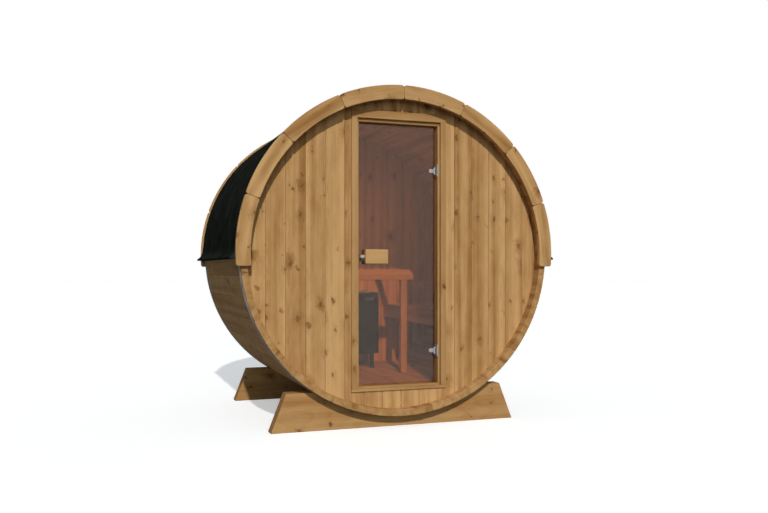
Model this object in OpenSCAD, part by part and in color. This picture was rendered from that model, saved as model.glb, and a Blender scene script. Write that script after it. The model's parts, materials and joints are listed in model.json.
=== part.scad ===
// Barrel sauna: a lying stave barrel on two cradles, with a glass door in the front wall,
// two benches, a heater and its guard. Millimetres. +X right, -Y front, +Z up.
// The origin is on the ground, under the middle of the barrel.

/* [Barrel] */
// Length of the staves
barrel_len = 1540; // [1400:10:1800]
// Outer radius of the barrel
barrel_r = 985; // [960:5:1000]
// Thickness of a stave
stave_t = 40; // [34:1:45]
// Height of the barrel's axis over the ground
axis_z = 1059; // [1050:1:1075]
// Distance of an end wall's outer face behind the staves' ends
wall_recess = 65; // [50:1:90]
// Thickness of an end wall
wall_t = 40; // [34:1:45]

/* [Door] */
// Half the width of the door frame
frame_half_w = 309; // [300:1:320]
// Height of the frame's lower edge
frame_z0 = 225; // [215:1:235]
// Height of the frame's upper edge
frame_z1 = 1925; // [1900:1:1930]
// Width of a jamb's face
casing_w = 37; // [34:1:42]
// Height of the head's face
head_h = 49; // [40:1:55]
// Height of the sill's face
sill_h = 16; // [14:1:20]
// How far the frame's face stands out from the wall
casing_proud = 13; // [8:1:18]
// Width of the bead inside the jambs' and the sill's faces
bead_w = 13; // [10:1:16]
// Height of the bead under the head's face
head_bead_h = 21; // [12:1:24]
// Thickness of the door's glass
glass_t = 8; // [8:1:10]

/* [Roof] */
// Outer radius of the trim arches
trim_r = 1014; // [1005:1:1020]
// Radial width of the trim arches
trim_w = 86; // [70:1:95]
// Thickness of the trim arches
trim_t = 28; // [20:1:35]
// Angle between two joints of a trim arch
trim_step = 23.6; // [22:0.1:25]
// Height of a trim arch's lower ends
trim_foot_z = 981; // [960:1:1000]
// Thickness of the roof covering
felt_t = 18; // [10:1:20]
// Half the width over the drip edges
drip_half_w = 1043; // [1030:1:1050]

/* [Cradles] */
// Half the length of a cradle at the ground
cradle_half_w = 790; // [760:5:820]
// Height of a cradle's shoulders
cradle_h = 230; // [200:5:250]
// Thickness of a cradle
cradle_t = 90; // [40:5:120]
// Distance of a cradle's outer face behind the staves' ends
cradle_inset = 90; // [60:5:150]

/* [Interior] */
// Height of the floor's upper face
floor_z = 240; // [235:1:250]
// Height of the benches' seats
seat_z = 688; // [650:1:720]
// Half the free width between the benches' front rails
aisle_half_w = 382; // [370:1:420]
// Height of the guard rail's upper edge
guard_z = 960; // [940:5:965]

/* [Hidden] */
$fn = 192;

// barrel
inner_r = barrel_r - stave_t;
barrel_y = barrel_len / 2;
stave_count = 46;
stave_step = 360 / stave_count;
bottom_deg = 270;

// end walls
wall_y1 = barrel_y - wall_recess;
wall_y0 = wall_y1 - wall_t;

// door frame
opening_half_w = frame_half_w - casing_w - bead_w;
opening_z0 = frame_z0 + sill_h + bead_w;
opening_z1 = frame_z1 - head_h - head_bead_h;
casing_y = -wall_y1 - casing_proud;
bead_y = casing_y + 18;
stop_w = 13;
stop_t = 15;

// door
door_gap = 6;
glass_half_w = opening_half_w - door_gap;
glass_z0 = opening_z0 + door_gap;
glass_z1 = opening_z1 - door_gap;
glass_y0 = -wall_y0 + 1;
glass_y1 = glass_y0 + glass_t;
stop_y = glass_y1 + 8;
hinge_x = opening_half_w - 12;
hinge_y = glass_y0 - 10;
hinge_heights = [455, 1579];
clamp_r = 12.5;
clamp_x = -23.5;
knuckle_r = 6;
pin_r = 3;
pin_play = 0.05;
handle_size = [148, 38, 89];
handle_x = -216;
handle_z = 995;
roller_r = 12;

// roof
trim_joint_gap = 1;
felt_overhang_deg = 2;
drip_top_deg = 3.75;
drip_bend = [10, 40];
drip_lip = 10;
band_w = 35;
band_t = 2.5;
band_inset = 23;

// cradles
shoulder_half_w = 700;

// interior
deck_t = 25;
bearer_w = 60;
seat_slat_t = 28;
seat_slats = 5;
seat_gap = 10;
rail_t = 18;
rail_h = 105;
bench_bearer_h = 70;
bench_bearer_t = 40;
heater_size = [424, 290, 444];
heater_y = 270;
heater_z = 347;
heater_rim = 40;
sheet_t = 3;
stone_heap_h = 70;
leg_w = 30;
leg_insets = [32, 80];
leg_y_inset = 15;
post_w = 45;
post_x = 258;
post_y = -60;
rail_half_w = 350;
guard_h = 70;
guard_chamfer = 18;

// Extrudes an outline in the X-Z plane, centred on the barrel's axis, from y0 to y1.
module along_barrel(y0, y1) {
    translate([0, y1, axis_z]) rotate([90, 0, 0]) linear_extrude(y1 - y0) children();
}

// A fan from the axis that covers the angles a0 to a1.
module fan(r, a0, a1) {
    steps = ceil((a1 - a0) / 30);
    polygon(concat([[0, 0]],
        [for (i = [0:steps]) let (a = a0 + (a1 - a0) * i / steps) 1.2 * r * [cos(a), sin(a)]]));
}

// An arc of a ring.
module ring_arc(r0, r1, a0, a1) {
    intersection() {
        difference() {
            circle(r1);
            circle(r0);
        }
        fan(r1, a0, a1);
    }
}

// A block given by its low and high corners.
module block(low, high) {
    translate(low) cube(high - low);
}

// The space inside the staves, between the end walls.
module cabin_space() {
    along_barrel(-wall_y0, wall_y0) circle(inner_r);
}

// A run of staves, counted from the bottom stave, counterclockwise seen from the front.
module stave_run(first, count) {
    start = bottom_deg + (first - 0.5) * stave_step;
    color("burlywood") along_barrel(-barrel_y, barrel_y)
        ring_arc(inner_r, barrel_r, start, start + count * stave_step);
}

module staves_bottom() { stave_run(-2, 5); }
module staves_right_lower() { stave_run(3, 6); }
module staves_right_middle() { stave_run(9, 6); }
module staves_right_upper() { stave_run(15, 6); }
module staves_top() { stave_run(21, 5); }
module staves_left_upper() { stave_run(26, 6); }
module staves_left_middle() { stave_run(32, 6); }
module staves_left_lower() { stave_run(38, 6); }

// A part of the front wall: the round wall inside a box from x0 to x1 and z0 to z1.
module front_wall_part(x0, x1, z0, z1) {
    color("burlywood") intersection() {
        along_barrel(-wall_y1, -wall_y0) circle(inner_r);
        block([x0, -wall_y1 - 1, z0], [x1, -wall_y0 + 1, z1]);
    }
}

module front_wall_left() { front_wall_part(-barrel_r, -frame_half_w, 0, 2 * axis_z); }
module front_wall_right() { front_wall_part(frame_half_w, barrel_r, 0, 2 * axis_z); }
module front_wall_over_door() { front_wall_part(-frame_half_w, frame_half_w, frame_z1, 2 * axis_z); }
module front_wall_under_door() { front_wall_part(-frame_half_w, frame_half_w, 0, frame_z0); }

module back_wall() {
    color("burlywood") along_barrel(wall_y0, wall_y1) circle(inner_r);
}

// The door frame's right jamb: its face and the bead set back from it.
module door_jamb_right() {
    color("tan") {
        block([frame_half_w - casing_w, casing_y, frame_z0 + sill_h],
            [frame_half_w, stop_y + stop_t, frame_z1 - head_h]);
        block([opening_half_w, bead_y, opening_z0],
            [frame_half_w - casing_w, stop_y + stop_t, opening_z1]);
    }
}

// The left jamb also has the stop behind the glass, on the side where the door shuts.
module door_jamb_left() {
    mirror([1, 0, 0]) door_jamb_right();
    color("tan") block([-opening_half_w, stop_y, opening_z0],
        [stop_w - opening_half_w, stop_y + stop_t, opening_z1]);
}

// The head's stop runs from the left jamb's stop to the right jamb.
module door_head() {
    bead_half_w = frame_half_w - casing_w;
    color("tan") {
        block([-frame_half_w, casing_y, frame_z1 - head_h], [frame_half_w, stop_y + stop_t, frame_z1]);
        block([-bead_half_w, bead_y, opening_z1], [bead_half_w, stop_y + stop_t, frame_z1 - head_h]);
        block([stop_w - opening_half_w, stop_y, opening_z1 - stop_w],
            [opening_half_w, stop_y + stop_t, opening_z1]);
    }
}

// The sill ends at the wall's inner face, where the floor begins.
module door_sill() {
    bead_half_w = frame_half_w - casing_w;
    sill_z1 = frame_z0 + sill_h;
    color("tan") {
        block([-frame_half_w, casing_y, frame_z0], [frame_half_w, -wall_y0, sill_z1]);
        block([-bead_half_w, bead_y, sill_z1], [bead_half_w, -wall_y0, opening_z0]);
    }
}

module door_glass() {
    color([0.45, 0.33, 0.27, 0.5])
        block([-glass_half_w, glass_y0, glass_z0], [glass_half_w, glass_y1, glass_z1]);
}

module door_handle_outside() {
    color("tan") translate([handle_x, glass_y0 - handle_size[1], handle_z]) cube(handle_size);
}

module door_handle_inside() {
    color("tan") translate([handle_x, glass_y1, handle_z]) cube(handle_size);
}

// The roller in its housing, between the outer handle and the frame.
module door_catch() {
    catch_z = handle_z + handle_size[2] / 2;
    color("silver") {
        translate([handle_x - 30, glass_y0 - roller_r - 4, catch_z])
            rotate([0, 90, 0]) cylinder(r = roller_r, h = 30);
        block([handle_x - 22, glass_y0 - roller_r - 4, catch_z - 27],
            [handle_x, glass_y0, catch_z - 4]);
    }
}

// A clamp on the glass with the middle knuckle of its hinge.
module hinge_clamp(z) {
    translate([hinge_x, hinge_y, z]) difference() {
        union() {
            for (face = [[1, 10], [10 + glass_t, 16 + glass_t]])
                translate([clamp_x, face[1], 0]) rotate([90, 0, 0]) linear_extrude(face[1] - face[0]) {
                    circle(clamp_r);
                    translate([0, -clamp_r]) square([-clamp_x - knuckle_r, 2 * clamp_r]);
                }
            translate([0, 0, -12]) cylinder(r = knuckle_r, h = 24);
            block([-8, 1, -12], [0, knuckle_r, 12]);
        }
        translate([0, 0, -20]) cylinder(r = pin_r + pin_play, h = 40);
    }
}

module hinge_clamps() {
    color("silver") for (z = hinge_heights) hinge_clamp(z);
}

// A plate on the frame with the hinge's two outer knuckles and its pin.
module hinge_plate(z) {
    translate([hinge_x, hinge_y, z]) {
        block([7, -32, -37.5], [12, 4, 37.5]);
        translate([0, 0, -22]) cylinder(r = pin_r, h = 44);
        for (side = [-1, 1]) translate([0, 0, side * 17.5 - 4.5]) {
            cylinder(r = knuckle_r, h = 9);
            block([0, -knuckle_r, 0], [8, 0, 9]);
        }
    }
}

module hinge_plates() {
    color("silver") for (z = hinge_heights) hinge_plate(z);
}

// One half of a trim arch: segments from the crown down to a level foot, with open joints.
module trim_half() {
    foot = trim_foot_z - axis_z;
    joint_deg = trim_joint_gap / trim_r * 90 / PI;
    color("peru") for (i = [0:3])
        let (a1 = 90 - i * trim_step, a0 = i == 3 ? -10 : a1 - trim_step)
            along_barrel(-barrel_y - trim_t, -barrel_y) intersection() {
                ring_arc(trim_r - trim_w, trim_r, a0 + joint_deg, a1 - joint_deg);
                translate([0, foot]) square([2 * trim_r, 2 * trim_r]);
            }
}

module front_trim_right() { trim_half(); }
module front_trim_left() { mirror([1, 0, 0]) trim_half(); }
module back_trim_right() { mirror([0, 1, 0]) trim_half(); }
module back_trim_left() { rotate([0, 0, 180]) trim_half(); }

// A steel band round the barrel, near the front.
module band_ring(t) {
    along_barrel(band_inset - barrel_y, band_inset + band_w - barrel_y) difference() {
        circle(barrel_r + t);
        circle(barrel_r);
    }
}

module band_front() { color("lightgray") band_ring(band_t); }
module band_rear() { color("lightgray") mirror([0, 1, 0]) band_ring(band_t); }

// The covering of felt on its underlay lies over the upper half of the barrel, and over the bands.
module roof_felt() {
    color([0.12, 0.13, 0.12]) difference() {
        along_barrel(-barrel_y, barrel_y)
            ring_arc(barrel_r, barrel_r + felt_t, -felt_overhang_deg, 180 + felt_overhang_deg);
        band_ring(band_t);
        mirror([0, 1, 0]) band_ring(band_t);
    }
}

// The drip edge along the felt's lower rim, which flares out to a lip.
module drip_edge() {
    felt_r = barrel_r + felt_t;
    foot = -barrel_r * sin(felt_overhang_deg);
    top = felt_r * [cos(drip_top_deg), sin(drip_top_deg)];
    along_barrel(-barrel_y, barrel_y) difference() {
        polygon([[felt_r - 10, foot], [drip_half_w, foot], [drip_half_w, foot + drip_lip],
            [felt_r + drip_bend[0], foot + drip_bend[1]], top, [felt_r - 10, top.y]]);
        circle(felt_r);
    }
}

module drip_edges() {
    color([0.12, 0.13, 0.12]) {
        drip_edge();
        mirror([1, 0, 0]) drip_edge();
    }
}

// A cradle: a trapezoid with a saddle for the barrel.
module cradle(y) {
    color("peru") along_barrel(y, y + cradle_t) difference() {
        translate([0, -axis_z]) polygon([[-cradle_half_w, 0], [cradle_half_w, 0],
            [shoulder_half_w, cradle_h], [-shoulder_half_w, cradle_h]]);
        circle(barrel_r);
    }
}

module cradle_front() { cradle(cradle_inset - barrel_y); }
module cradle_rear() { cradle(barrel_y - cradle_inset - cradle_t); }

module floor_deck() {
    color("burlywood") intersection() {
        cabin_space();
        block([-barrel_r, -barrel_y, floor_z - deck_t], [barrel_r, barrel_y, floor_z]);
    }
}

// Three bearers under the floor, shaped to the staves.
module floor_bearers() {
    color("burlywood") intersection() {
        cabin_space();
        for (y = [-450, 0, 450])
            block([-barrel_r, y - bearer_w / 2, 0], [barrel_r, y + bearer_w / 2, floor_z - deck_t]);
    }
}

// The right bench's seat: slats along the barrel, the outermost against the staves.
module seat() {
    seat_x1 = sqrt(pow(inner_r, 2) - pow(axis_z - seat_z, 2));
    pitch = (seat_x1 - aisle_half_w + seat_gap) / seat_slats;
    color("burlywood") intersection() {
        cabin_space();
        for (i = [0:seat_slats - 1])
            block([aisle_half_w + i * pitch, -wall_y0, seat_z - seat_slat_t],
                [aisle_half_w + (i + 1) * pitch - seat_gap, wall_y0, seat_z]);
    }
}

module bench_seat_right() { seat(); }
module bench_seat_left() { mirror([1, 0, 0]) seat(); }

module bench_rail() {
    color("burlywood") block([aisle_half_w, -wall_y0, seat_z - rail_h],
        [aisle_half_w + rail_t, wall_y0, seat_z - seat_slat_t]);
}

module bench_rail_right() { bench_rail(); }
module bench_rail_left() { mirror([1, 0, 0]) bench_rail(); }

// Bearers under the seats, from the front rail to the staves, three on each side.
module bench_bearers() {
    color("burlywood") intersection() {
        cabin_space();
        for (side = [0, 1], y = [-580, 0, 580]) mirror([side, 0, 0])
            block([aisle_half_w + rail_t, y - bench_bearer_t / 2, seat_z - seat_slat_t - bench_bearer_h],
                [barrel_r, y + bench_bearer_t / 2, seat_z - seat_slat_t]);
    }
}

// The heater's sheet-steel case: a tray for the stones on top, open below for the air.
module heater_body() {
    tray_z = heater_z + heater_size[2] - heater_rim;
    color([0.2, 0.2, 0.2]) difference() {
        translate([-heater_size[0] / 2, heater_y, heater_z]) cube(heater_size);
        for (space = [[heater_z - 1, tray_z - sheet_t], [tray_z, guard_z]])
            block([sheet_t - heater_size[0] / 2, heater_y + sheet_t, space[0]],
                [heater_size[0] / 2 - sheet_t, heater_y + heater_size[1] - sheet_t, space[1]]);
    }
}

// The heap of stones that fills the heater's top.
module heater_stones() {
    half_w = heater_size[0] / 2 - sheet_t;
    color("dimgray") translate([0, heater_y + heater_size[1] - sheet_t,
        heater_z + heater_size[2] - heater_rim])
        rotate([90, 0, 0]) linear_extrude(heater_size[1] - 2 * sheet_t)
            polygon([[-half_w, 0], [half_w, 0], [half_w, heater_rim],
                [half_w - 50, stone_heap_h], [50 - half_w, stone_heap_h], [-half_w, heater_rim]]);
}

// Four legs, the rear pair closer together than the front pair.
module heater_legs() {
    front_y = heater_y + leg_y_inset;
    rear_y = heater_y + heater_size[1] - leg_y_inset - leg_w;
    color([0.2, 0.2, 0.2]) for (side = [0, 1], leg = [[leg_insets[0], front_y], [leg_insets[1], rear_y]])
        let (x = heater_size[0] / 2 - leg[0] - leg_w)
            mirror([side, 0, 0]) block([x, leg[1], floor_z], [x + leg_w, leg[1] + leg_w, heater_z]);
}

// The guard round the heater: a front rail and two side rails, chamfered along their outer edge.
module guard_rails() {
    low_z = guard_z - guard_h;
    edge_z = guard_z - 2 * guard_chamfer;
    inner_x = rail_half_w - post_w;
    color("sandybrown") difference() {
        intersection() {
            translate([0, wall_y0, 0]) rotate([90, 0, 0]) linear_extrude(wall_y0 - post_y)
                polygon([[-rail_half_w, low_z], [rail_half_w, low_z], [rail_half_w, edge_z],
                    [rail_half_w - guard_chamfer, guard_z], [guard_chamfer - rail_half_w, guard_z],
                    [-rail_half_w, edge_z]]);
            translate([-rail_half_w, 0, 0]) rotate([90, 0, 90]) linear_extrude(2 * rail_half_w)
                polygon([[post_y, low_z], [wall_y0, low_z], [wall_y0, guard_z],
                    [post_y + guard_chamfer, guard_z], [post_y, edge_z]]);
        }
        block([-inner_x, post_y + post_w, low_z - 1], [inner_x, wall_y0 + 1, guard_z + 1]);
    }
}

module guard_posts() {
    color("sandybrown") for (side = [0, 1]) mirror([side, 0, 0])
        block([post_x, post_y, floor_z], [post_x + post_w, post_y + post_w, guard_z - guard_h]);
}

staves_bottom();
staves_right_lower();
staves_right_middle();
staves_right_upper();
staves_top();
staves_left_upper();
staves_left_middle();
staves_left_lower();
front_wall_left();
front_wall_right();
front_wall_over_door();
front_wall_under_door();
back_wall();
door_jamb_left();
door_jamb_right();
door_head();
door_sill();
door_glass();
door_handle_outside();
door_handle_inside();
door_catch();
hinge_clamps();
hinge_plates();
front_trim_left();
front_trim_right();
back_trim_left();
back_trim_right();
roof_felt();
drip_edges();
band_front();
band_rear();
cradle_front();
cradle_rear();
floor_deck();
floor_bearers();
bench_seat_left();
bench_seat_right();
bench_rail_left();
bench_rail_right();
bench_bearers();
heater_body();
heater_stones();
heater_legs();
guard_rails();
guard_posts();
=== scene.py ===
"""A barrel sauna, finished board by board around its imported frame."""

import json
import math
import random

import bmesh
import bpy
from bpy.props import FloatProperty, FloatVectorProperty, IntProperty, PointerProperty
from mathutils import Matrix, Vector


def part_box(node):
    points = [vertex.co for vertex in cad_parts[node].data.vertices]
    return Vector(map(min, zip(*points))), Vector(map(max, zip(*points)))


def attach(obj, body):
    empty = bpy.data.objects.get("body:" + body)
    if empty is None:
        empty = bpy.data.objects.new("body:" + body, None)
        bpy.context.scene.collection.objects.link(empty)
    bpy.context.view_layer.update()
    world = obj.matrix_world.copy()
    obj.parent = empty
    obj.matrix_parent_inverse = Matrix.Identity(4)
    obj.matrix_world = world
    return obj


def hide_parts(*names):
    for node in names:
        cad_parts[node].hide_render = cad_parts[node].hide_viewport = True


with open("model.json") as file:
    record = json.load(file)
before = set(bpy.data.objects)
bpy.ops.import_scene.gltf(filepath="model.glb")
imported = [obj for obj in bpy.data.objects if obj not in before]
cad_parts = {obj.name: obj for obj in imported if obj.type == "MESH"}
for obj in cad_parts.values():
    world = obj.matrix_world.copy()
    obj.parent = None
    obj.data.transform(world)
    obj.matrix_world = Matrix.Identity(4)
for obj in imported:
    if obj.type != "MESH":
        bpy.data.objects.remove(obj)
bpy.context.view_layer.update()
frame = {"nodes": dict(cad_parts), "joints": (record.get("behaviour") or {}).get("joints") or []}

bl_info = {
    "name": "Barrel Sauna",
    "version": (1, 0, 0),
    "blender": (4, 5, 0),
    "location": "3D View > Sidebar > Sauna",
    "description": "Builds the staves, walls, door and fittings of a barrel sauna",
    "category": "Object",
}

ROOT = "cabin"
DOOR = "door"
UP = Vector((0, 0, 1))
RIGHT = Vector((1, 0, 0))
BACK = Vector((0, 1, 0))

BARREL_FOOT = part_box("staves_bottom")[0]
BARREL_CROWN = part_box("staves_top")[1]
AXIS_Z = (BARREL_FOOT.z + BARREL_CROWN.z) / 2
BARREL_R = (BARREL_CROWN.z - BARREL_FOOT.z) / 2
INNER_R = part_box("back_wall")[1].x
HALF_LENGTH = BARREL_CROWN.y
CLEARANCE = 0.0005  # how far a loose piece stays inside its node or off its neighbour
SEAM = 0.0002  # how far a board stays off the middle of its joint


def length(name, text, value):
    return FloatProperty(name=name, description=text, default=value, unit="LENGTH")


class SaunaSizes(bpy.types.PropertyGroup):
    """The sizes that the frame leaves open."""

    stave_count: IntProperty(name="Staves", description="Staves round the barrel", default=46, min=12)
    board_pitch: length("Board pitch", "Width that a wall board covers", 0.12)
    board_phase: length("Board phase", "Place of the joint next to the middle", 0.012)
    groove: length("Groove", "Depth of the groove between boards", 0.002)
    stave_groove: length("Stave groove", "Depth of the groove between staves", 0.003)
    edge: length("Edge", "Rounding of a planed board's edges", 0.003)
    trim_width: length("Trim width", "Radial width of the trim arches", 0.086)
    trim_step: FloatProperty(
        name="Trim step",
        description="Angle that a trim segment covers",
        default=math.radians(23.6),
        subtype="ANGLE",
    )
    trim_corner: length("Trim corner", "Rounding of a trim segment's corners", 0.0175)
    trim_gap: length("Trim gap", "Open joint between trim segments", 0.001)
    felt_lap: length("Felt lap", "Thickness of a lap in the felt", 0.0018)
    casing: length("Casing", "Width of a jamb's face", 0.037)
    head: length("Head", "Height of the head's face", 0.049)
    sill: length("Sill", "Height of the sill's face", 0.016)
    bead_back: length("Bead setback", "Distance of the bead behind the face", 0.018)
    stop: length("Stop", "Width of the stop behind the glass", 0.013)
    stop_thickness: length("Stop thickness", "Thickness of the stop", 0.015)


def colour(name, text, value):
    return FloatVectorProperty(
        name=name, description=text, default=value, size=3, subtype="COLOR", min=0, max=1
    )


class SaunaColours(bpy.types.PropertyGroup):
    """The colours of the finishes, as linear values."""

    wood_light: colour("Light wood", "Early wood of the planed boards", (0.590, 0.353, 0.152))
    wood_dark: colour("Dark wood", "Late wood and darker streaks", (0.315, 0.152, 0.048))
    wood_knot: colour("Knots", "Heart of a knot", (0.165, 0.066, 0.019))
    inside_light: colour("Inside wood", "Early wood of the benches and floor", (0.56, 0.35, 0.16))
    inside_dark: colour("Inside dark wood", "Late wood of the benches and floor", (0.36, 0.185, 0.07))
    felt: colour("Felt", "Roofing felt", (0.0135, 0.0152, 0.0125))
    steel: colour("Band steel", "Galvanised bands", (0.36, 0.37, 0.40))
    fitting: colour("Fittings", "Satin metal of the hinges and the catch", (0.47, 0.465, 0.46))
    glass: colour("Glass", "Tint of the bronze glass", (0.80, 0.515, 0.34))
    heater: colour("Heater", "Paint of the heater's case", (0.005, 0.0053, 0.0056))
    stone: colour("Stones", "Heater stones", (0.13, 0.13, 0.128))


def sizes():
    return bpy.context.scene.sauna_sizes


def colours():
    return bpy.context.scene.sauna_colours


# ---------------------------------------------------------------- node trees


class Value:
    """A node's output. Sums with it add Math nodes."""

    def __init__(self, w, output):
        self.w = w
        self.output = output

    def __add__(self, other):
        return self.w.math("ADD", self, other)

    def __sub__(self, other):
        return self.w.math("SUBTRACT", self, other)

    def __rsub__(self, other):
        return self.w.math("SUBTRACT", other, self)

    def __mul__(self, other):
        return self.w.math("MULTIPLY", self, other)

    def __truediv__(self, other):
        return self.w.math("DIVIDE", self, other)


class Wiring:
    """Adds nodes to a tree and joins them."""

    def __init__(self, tree):
        self.tree = tree

    def feed(self, target, value):
        if isinstance(value, Value):
            self.tree.links.new(value.output, target)
        else:
            target.default_value = value

    def add(self, kind, inputs=None, **settings):
        made = self.tree.nodes.new(kind)
        for name, value in settings.items():
            setattr(made, name, value)
        for key, value in (inputs or {}).items():
            self.feed(socket(made.inputs, key), value)
        return made

    def take(self, kind, inputs=None, *outputs, **settings):
        """Adds a node and gives the outputs that are asked for, or the first one."""
        made = self.add(kind, inputs, **settings)
        found = [Value(self, socket(made.outputs, key)) for key in outputs or (0,)]
        return found if len(found) > 1 else found[0]

    def math(self, operation, *values, clamp=False):
        return self.take("ShaderNodeMath", dict(enumerate(values)), operation=operation, use_clamp=clamp)

    def vector(self, operation, *values):
        output = "Value" if operation == "LENGTH" else "Vector"
        return self.take("ShaderNodeVectorMath", dict(enumerate(values)), output, operation=operation)

    def scaled(self, vector, factor):
        return self.take("ShaderNodeVectorMath", {0: vector, "Scale": factor}, operation="SCALE")

    def split(self, vector):
        return self.take("ShaderNodeSeparateXYZ", {0: vector}, 0, 1, 2)

    def joined(self, x, y, z):
        return self.take("ShaderNodeCombineXYZ", {0: x, 1: y, 2: z})

    def between(self, value, low, high):
        return self.math("MINIMUM", self.math("MAXIMUM", value, low), high)

    def chord(self, radius, offset):
        """Half the width of a circle at a distance from its middle."""
        square = self.math("POWER", radius, 2.0) - offset * offset
        return self.math("SQRT", self.math("MAXIMUM", square, 0.0))

    def stretch(self, value, low, high, to_low=0.0, to_high=1.0, smooth=True):
        """Maps low..high to to_low..to_high and holds it there."""
        return self.take(
            "ShaderNodeMapRange",
            {"Value": value, "From Min": low, "From Max": high, "To Min": to_low, "To Max": to_high},
            interpolation_type="SMOOTHSTEP" if smooth else "LINEAR",
        )

    def noise(self, vector, scale, detail=2.0, roughness=0.5):
        return self.take(
            "ShaderNodeTexNoise",
            {"Vector": vector, "Scale": scale, "Detail": detail, "Roughness": roughness},
        )

    def streaks(self, vector, along, across, detail, roughness=0.5):
        """Noise drawn out along the first axis."""
        return self.noise(self.vector("MULTIPLY", vector, (along, across, across)), 1.0, detail, roughness)

    def mix(self, factor, a, b):
        return self.take("ShaderNodeMix", {"Factor": factor, "A": a, "B": b}, "Result", data_type="RGBA")


def socket(sockets, key):
    """The socket in that place, or the enabled one with that name."""
    if isinstance(key, int):
        return sockets[key]
    return [found for found in sockets if found.name == key and found.enabled][0]


def new_group(name, kind, inputs, outputs):
    """A node group and its inputs, each given with its default number or its kind of socket."""
    tree = bpy.data.node_groups.new(name, kind)
    for label, value in inputs.items():
        sort = value if isinstance(value, str) else type(value).__name__.capitalize()
        made = tree.interface.new_socket(label, in_out="INPUT", socket_type="NodeSocket" + sort)
        if not isinstance(value, str):
            made.default_value = value
    for label, sort in outputs.items():
        tree.interface.new_socket(label, in_out="OUTPUT", socket_type="NodeSocket" + sort)
    w = Wiring(tree)
    return w, {found.name: Value(w, found) for found in w.add("NodeGroupInput").outputs}


def group(make):
    """The node group that a function makes, made the first time."""
    return bpy.data.node_groups.get(make.__name__) or make()


# ---------------------------------------------------------------- shader groups

FINISH = {"Color": "Color", "Roughness": "Float", "Height": "Float"}


def softwood_grain():
    """Planed softwood: rings round a hidden pith, streaks, fibres and knots."""
    inputs = {
        "Grain": "Vector",
        "Board": 0.0,
        "End": 0.0,
        "Light": "Color",
        "Dark": "Color",
        "Knot": "Color",
        "Knottiness": 0.45,
        "Ring Width": 0.005,
        "Board Contrast": 0.5,
    }
    w, given = new_group("softwood_grain", "ShaderNodeTree", inputs, FINISH)
    board_side, board_pith, board_tone = (
        w.math("FRACT", given["Board"] * factor) for factor in (57.31, 91.73, 17.17)
    )
    place = w.vector("ADD", given["Grain"], w.scaled((31.7, 13.1, 0.0), given["Board"]))
    along, across, depth = w.split(place)

    # knots: a few cells of a flat cell pattern, each with its own size and depth of colour
    cell = 0.115
    least, spread = 0.003, 0.0125
    bent = (w.noise(place, 22.0, 1.0) - 0.5) * 0.05
    flat = w.joined(along * 0.72 + bent, across - bent, 0.0)
    distance, mark = w.take(
        "ShaderNodeTexVoronoi",
        {"Vector": flat, "Scale": 1 / cell},
        "Distance",
        "Color",
        voronoi_dimensions="2D",
    )
    chance, strength, smudge = w.split(mark)
    crowd = w.streaks(place, 1.6, 5.0, 1.0)
    floor = 1.0 - given["Knottiness"] * w.stretch(crowd, 0.3, 0.7, 0.4, 1.4)
    present = w.math("GREATER_THAN", chance, floor)
    size = w.math("POWER", w.stretch(chance, floor, 1.0, smooth=False), 1.7) * spread + least
    wobble = w.noise(place, 70.0, 3.0) - 0.5
    distance = distance * cell + wobble * 0.012
    reach = distance / size
    strength = present * w.stretch(strength, 0.0, 1.0, 0.65, 1.0, smooth=False)
    knot = w.stretch(reach, 1.3, 0.65) * strength
    heart = w.stretch(reach, 0.75, 0.1) * present
    wide = (distance + wobble * 0.03) / size
    halo = w.stretch(wide, 4.4, 0.7) * (present * smudge)

    # growth rings round a pith that wanders along the board
    wander = w.streaks(place, 0.9, 3.0, 2.0) - 0.5
    sideways = w.split(given["Grain"])[1] - (board_side - 0.5) * 0.14 + wander * 0.05
    inward = depth + (board_pith * 0.06 + 0.008) + wander * 0.11
    radius = w.vector("LENGTH", w.joined(sideways, inward, 0.0))
    part = w.math("FRACT", radius / given["Ring Width"] + halo * 2.6)
    ring = w.math("POWER", part, 2.2) * w.stretch(part, 1.0, 0.9)

    # rings, bands, streaks, stains and fibres, each with its middle value and its share of the dark
    fibre = w.streaks(place, 9.0, 520.0, 2.0, 0.6)
    dark = (board_tone - 0.5) * given["Board Contrast"] + 0.38
    for value, middle, share in (
        (ring, 0.28, 0.24),
        (w.streaks(place, 0.45, 19.0, 1.0, 0.4), 0.5, 1.9),
        (w.streaks(place, 1.3, 62.0, 3.0, 0.65), 0.5, 0.8),
        (w.streaks(place, 5.0, 14.0, 3.0, 0.6), 0.5, 1.0),
        (fibre, 0.5, 0.3),
    ):
        dark = dark + (value - middle) * share
    dark = w.math("ADD", dark, 0.0, clamp=True)
    shade = w.mix(dark, given["Light"], given["Dark"])
    glow = w.mix(0.55, given["Dark"], given["Knot"])
    shade = w.mix(halo * 0.75, shade, glow)
    shade = w.mix(knot * 0.9, shade, w.mix(heart * 0.45, given["Knot"], glow))
    shade = w.mix(given["End"] * 0.3, shade, given["Dark"])
    rough = fibre * 0.2 + 0.66 - knot * 0.14
    height = ring * 0.35 + fibre * 0.65 + knot * 0.5
    w.add("NodeGroupOutput", {"Color": shade, "Roughness": rough, "Height": height})
    return w.tree


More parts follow.
